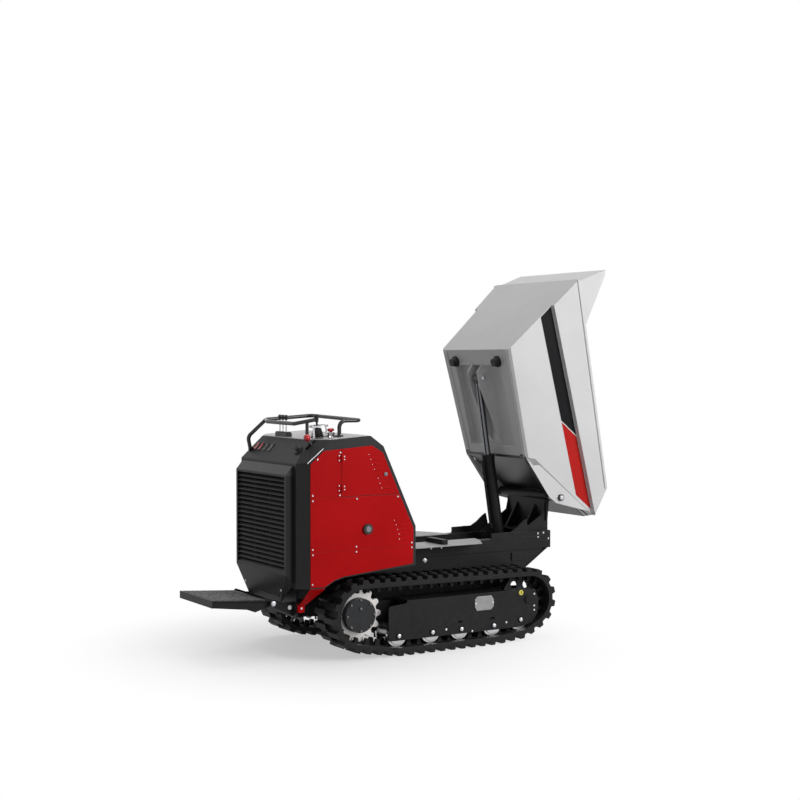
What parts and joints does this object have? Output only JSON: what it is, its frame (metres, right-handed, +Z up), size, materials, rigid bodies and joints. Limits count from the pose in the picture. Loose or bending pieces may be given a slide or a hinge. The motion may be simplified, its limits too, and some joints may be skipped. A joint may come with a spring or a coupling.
{
  "type": "tracked power carrier",
  "caption": "Rubber-tracked walk-behind power carrier with a fold-up operator platform and a hydraulically tipped, flared load skip.",
  "frame": {"origin": "on the ground, under the centre of the machine's box, skip tipped up", "axes": "+X forward, the way the skip tips; +Y to the machine's left; +Z up"},
  "size_m": [2.7048, 0.96, 2.2978],
  "materials": {
    "frame_paint": "satin black paint",
    "body_paint": "satin charcoal paint",
    "red_paint": "gloss red paint",
    "skip_paint": "satin light grey paint",
    "deck_steel": "light grey paint",
    "belt_rubber": "matt moulded rubber",
    "buffer_rubber": "matt rubber",
    "cast_hub": "painted casting",
    "sprocket_steel": "machined and primed",
    "wheel_steel": "polished by running",
    "bright_steel": "zinc plated",
    "rod_chrome": "hard chromed and ground",
    "console_metal": "brushed plate",
    "black_plastic": "fine grain",
    "red_plastic": "smooth moulded",
    "grey_plastic": "fine grain",
    "engine_alloy": "cast alloy",
    "tank_plastic": "rotationally moulded"
  },
  "bodies": {
    "carrier": {"chassis": "frame_paint", "deck_plate_right": "deck_steel", "deck_plate_left": "deck_steel", "track_frame_right": "frame_paint", "track_frame_left": "frame_paint", "track_belt_right": "belt_rubber", "track_belt_left": "belt_rubber", "body_shell": "body_paint", "side_panel_right": "red_paint", "side_panel_left": "red_paint", "rear_grille": "body_paint", "console_plate": "console_metal", "lever_bank": "black_plastic", "joystick_boot": "buffer_rubber", "stop_body": "bright_steel", "handrail": "frame_paint", "strut_right": "red_paint", "strut_left": "red_paint", "engine": "engine_alloy", "oil_tank": "tank_plastic"},
    "drive_right": {"hub_right": "cast_hub", "sprocket_right": "sprocket_steel"},
    "idler_wheel_right": {"idler_right": "wheel_steel"},
    "wheel_roller_right_1": {"roller_right_1": "wheel_steel"},
    "wheel_roller_right_2": {"roller_right_2": "wheel_steel"},
    "wheel_roller_right_3": {"roller_right_3": "wheel_steel"},
    "wheel_roller_right_4": {"roller_right_4": "wheel_steel"},
    "wheel_roller_right_5": {"roller_right_5": "wheel_steel"},
    "service_door_right": {"door_right": "red_paint"},
    "door_latch_right": {"latch_right": "bright_steel"},
    "drive_left": {"hub_left": "cast_hub", "sprocket_left": "sprocket_steel"},
    "idler_wheel_left": {"idler_left": "wheel_steel"},
    "wheel_roller_left_1": {"roller_left_1": "wheel_steel"},
    "wheel_roller_left_2": {"roller_left_2": "wheel_steel"},
    "wheel_roller_left_3": {"roller_left_3": "wheel_steel"},
    "wheel_roller_left_4": {"roller_left_4": "wheel_steel"},
    "wheel_roller_left_5": {"roller_left_5": "wheel_steel"},
    "service_door_left": {"door_left": "red_paint"},
    "door_latch_left": {"latch_left": "bright_steel"},
    "fuel_cap": {"filler_cap": "black_plastic"},
    "switch_1": {"rocker_1": "red_plastic"},
    "switch_2": {"rocker_2": "red_plastic"},
    "switch_3": {"rocker_3": "grey_plastic"},
    "switch_4": {"rocker_4": "grey_plastic"},
    "ignition_key": {"key_switch": "bright_steel"},
    "valve_lever_1": {"lever_1": "bright_steel"},
    "valve_lever_2": {"lever_2": "bright_steel"},
    "valve_lever_3": {"lever_3": "bright_steel"},
    "throttle": {"throttle_lever": "red_plastic"},
    "stick_gimbal": {"joystick_gimbal": "bright_steel"},
    "drive_stick": {"joystick": "black_plastic"},
    "emergency_stop": {"stop_button": "red_plastic"},
    "foot_platform": {"platform": "frame_paint"},
    "tipping_skip": {"skip": "skip_paint", "spill_guard": "skip_paint", "buffer_right": "buffer_rubber", "buffer_left": "buffer_rubber"},
    "ram_barrel": {"tip_barrel": "frame_paint"},
    "ram_rod": {"tip_rod": "rod_chrome"}
  },
  "joints": [
    {"name": "drive_right_spin", "type": "hinge", "parent": "carrier", "child": "drive_right", "pos_m": [-0.50609, -0.365, 0.249], "axis": [0, 1, 0], "continuous": true},
    {"name": "idler_right_spin", "type": "hinge", "parent": "carrier", "child": "idler_wheel_right", "pos_m": [0.66591, -0.365, 0.252], "axis": [0, 1, 0], "continuous": true},
    {"name": "roller_right_1_spin", "type": "hinge", "parent": "carrier", "child": "wheel_roller_right_1", "pos_m": [-0.27009, -0.365, 0.1143], "axis": [0, 1, 0], "continuous": true},
    {"name": "roller_right_2_spin", "type": "hinge", "parent": "carrier", "child": "wheel_roller_right_2", "pos_m": [-0.03609, -0.365, 0.1143], "axis": [0, 1, 0], "continuous": true},
    {"name": "roller_right_3_spin", "type": "hinge", "parent": "carrier", "child": "wheel_roller_right_3", "pos_m": [0.16991, -0.365, 0.1143], "axis": [0, 1, 0], "continuous": true},
    {"name": "roller_right_4_spin", "type": "hinge", "parent": "carrier", "child": "wheel_roller_right_4", "pos_m": [0.40791, -0.365, 0.1143], "axis": [0, 1, 0], "continuous": true},
    {"name": "roller_right_5_spin", "type": "hinge", "parent": "carrier", "child": "wheel_roller_right_5", "pos_m": [0.60791, -0.365, 0.1323], "axis": [0, 1, 0], "continuous": true},
    {"name": "door_right_swing", "type": "hinge", "parent": "carrier", "child": "service_door_right", "pos_m": [-0.63009, -0.422, 1.078], "axis": [0, 0, 1], "range_deg": [-110, 0]},
    {"name": "latch_right_turn", "type": "hinge", "parent": "service_door_right", "child": "door_latch_right", "pos_m": [-0.33602, -0.416, 1.06202], "axis": [0, 1, 0], "range_deg": [0, 90]},
    {"name": "drive_left_spin", "type": "hinge", "parent": "carrier", "child": "drive_left", "pos_m": [-0.50609, 0.365, 0.249], "axis": [0, 1, 0], "continuous": true},
    {"name": "idler_left_spin", "type": "hinge", "parent": "carrier", "child": "idler_wheel_left", "pos_m": [0.66591, 0.365, 0.252], "axis": [0, 1, 0], "continuous": true},
    {"name": "roller_left_1_spin", "type": "hinge", "parent": "carrier", "child": "wheel_roller_left_1", "pos_m": [-0.27009, 0.365, 0.1143], "axis": [0, 1, 0], "continuous": true},
    {"name": "roller_left_2_spin", "type": "hinge", "parent": "carrier", "child": "wheel_roller_left_2", "pos_m": [-0.03609, 0.365, 0.1143], "axis": [0, 1, 0], "continuous": true},
    {"name": "roller_left_3_spin", "type": "hinge", "parent": "carrier", "child": "wheel_roller_left_3", "pos_m": [0.16991, 0.365, 0.1143], "axis": [0, 1, 0], "continuous": true},
    {"name": "roller_left_4_spin", "type": "hinge", "parent": "carrier", "child": "wheel_roller_left_4", "pos_m": [0.40791, 0.365, 0.1143], "axis": [0, 1, 0], "continuous": true},
    {"name": "roller_left_5_spin", "type": "hinge", "parent": "carrier", "child": "wheel_roller_left_5", "pos_m": [0.60791, 0.365, 0.1323], "axis": [0, 1, 0], "continuous": true},
    {"name": "door_left_swing", "type": "hinge", "parent": "carrier", "child": "service_door_left", "pos_m": [-0.63009, 0.422, 1.078], "axis": [0, 0, 1], "range_deg": [0, 110]},
    {"name": "latch_left_turn", "type": "hinge", "parent": "service_door_left", "child": "door_latch_left", "pos_m": [-0.33602, 0.416, 1.06202], "axis": [0, 1, 0], "range_deg": [0, 90]},
    {"name": "fuel_cap_turn", "type": "hinge", "parent": "carrier", "child": "fuel_cap", "pos_m": [-0.45809, -0.42, 0.748], "axis": [0, 1, 0], "range_deg": [0, 90]},
    {"name": "switch_1_rock", "type": "hinge", "parent": "carrier", "child": "switch_1", "pos_m": [-0.82787, 0.27, 1.20622], "axis": [0, 1, 0], "range_deg": [-8, 8]},
    {"name": "switch_2_rock", "type": "hinge", "parent": "carrier", "child": "switch_2", "pos_m": [-0.82787, 0.214, 1.20622], "axis": [0, 1, 0], "range_deg": [-8, 8]},
    {"name": "switch_3_rock", "type": "hinge", "parent": "carrier", "child": "switch_3", "pos_m": [-0.82787, 0.152, 1.20622], "axis": [0, 1, 0], "range_deg": [-8, 8]},
    {"name": "switch_4_rock", "type": "hinge", "parent": "carrier", "child": "switch_4", "pos_m": [-0.82787, 0.084, 1.20622], "axis": [0, 1, 0], "range_deg": [-8, 8]},
    {"name": "key_turn", "type": "hinge", "parent": "carrier", "child": "ignition_key", "pos_m": [-0.82787, -0.264, 1.20622], "axis": [-0.7432, 0, 0.6691], "range_deg": [0, 60]},
    {"name": "valve_lever_1_tilt", "type": "hinge", "parent": "carrier", "child": "valve_lever_1", "pos_m": [-0.74609, 0.125, 1.28501], "axis": [0, 1, 0], "range_deg": [-10, 10], "stiffness_Nm_per_rad": 1},
    {"name": "valve_lever_2_tilt", "type": "hinge", "parent": "carrier", "child": "valve_lever_2", "pos_m": [-0.74609, 0.085, 1.28501], "axis": [0, 1, 0], "range_deg": [-10, 10], "stiffness_Nm_per_rad": 1},
    {"name": "valve_lever_3_tilt", "type": "hinge", "parent": "carrier", "child": "valve_lever_3", "pos_m": [-0.74609, 0.045, 1.28501], "axis": [0, 1, 0], "range_deg": [-10, 10], "stiffness_Nm_per_rad": 1},
    {"name": "throttle_tilt", "type": "hinge", "parent": "carrier", "child": "throttle", "pos_m": [-0.76409, -0.33, 1.222], "axis": [0, 1, 0], "range_deg": [-20, 14]},
    {"name": "stick_sideways", "type": "hinge", "parent": "carrier", "child": "stick_gimbal", "pos_m": [-0.6692, -0.2, 1.29445], "axis": [0.9981, 0, 0.0619], "range_deg": [-10, 10], "stiffness_Nm_per_rad": 1},
    {"name": "stick_forward", "type": "hinge", "parent": "stick_gimbal", "child": "drive_stick", "pos_m": [-0.6692, -0.2, 1.29445], "axis": [0, 1, 0], "range_deg": [-10, 10], "stiffness_Nm_per_rad": 1},
    {"name": "stop_press", "type": "slide", "parent": "carrier", "child": "emergency_stop", "axis": [-0.0619, 0, 0.9981], "range_m": [-0.005, 0], "stiffness_N_per_m": 800},
    {"name": "platform_fold", "type": "hinge", "parent": "carrier", "child": "foot_platform", "pos_m": [-0.98209, 0, 0.336], "axis": [0, 1, 0], "range_deg": [0, 80]},
    {"name": "skip_tip", "type": "hinge", "parent": "carrier", "child": "tipping_skip", "pos_m": [1.00891, 0, 0.854], "axis": [0, 1, 0], "range_deg": [-76.5, 0]},
    {"name": "ram_swing", "type": "hinge", "parent": "carrier", "child": "ram_barrel", "pos_m": [0.76791, 0, 0.565], "axis": [0, 1, 0], "range_deg": [-74.14, 0]},
    {"name": "ram_stroke", "type": "slide", "parent": "ram_barrel", "child": "ram_rod", "axis": [-0.1548, 0, 0.9879], "range_m": [-0.4649, 0]}
  ],
  "couplings": [
    {"joint": "idler_right_spin", "follows": "drive_right_spin", "ratio": 1.1164},
    {"joint": "roller_right_1_spin", "follows": "drive_right_spin", "ratio": 2.4585},
    {"joint": "roller_right_2_spin", "follows": "drive_right_spin", "ratio": 2.4585},
    {"joint": "roller_right_3_spin", "follows": "drive_right_spin", "ratio": 2.4585},
    {"joint": "roller_right_4_spin", "follows": "drive_right_spin", "ratio": 2.4585},
    {"joint": "roller_right_5_spin", "follows": "drive_right_spin", "ratio": 2.4585},
    {"joint": "idler_left_spin", "follows": "drive_left_spin", "ratio": 1.1164},
    {"joint": "roller_left_1_spin", "follows": "drive_left_spin", "ratio": 2.4585},
    {"joint": "roller_left_2_spin", "follows": "drive_left_spin", "ratio": 2.4585},
    {"joint": "roller_left_3_spin", "follows": "drive_left_spin", "ratio": 2.4585},
    {"joint": "roller_left_4_spin", "follows": "drive_left_spin", "ratio": 2.4585},
    {"joint": "roller_left_5_spin", "follows": "drive_left_spin", "ratio": 2.4585},
    {"joint": "ram_swing", "follows": "skip_tip", "ratio": 0.96908},
    {"joint": "ram_stroke", "follows": "skip_tip", "m_per_rad": 0.3481}
  ]
}
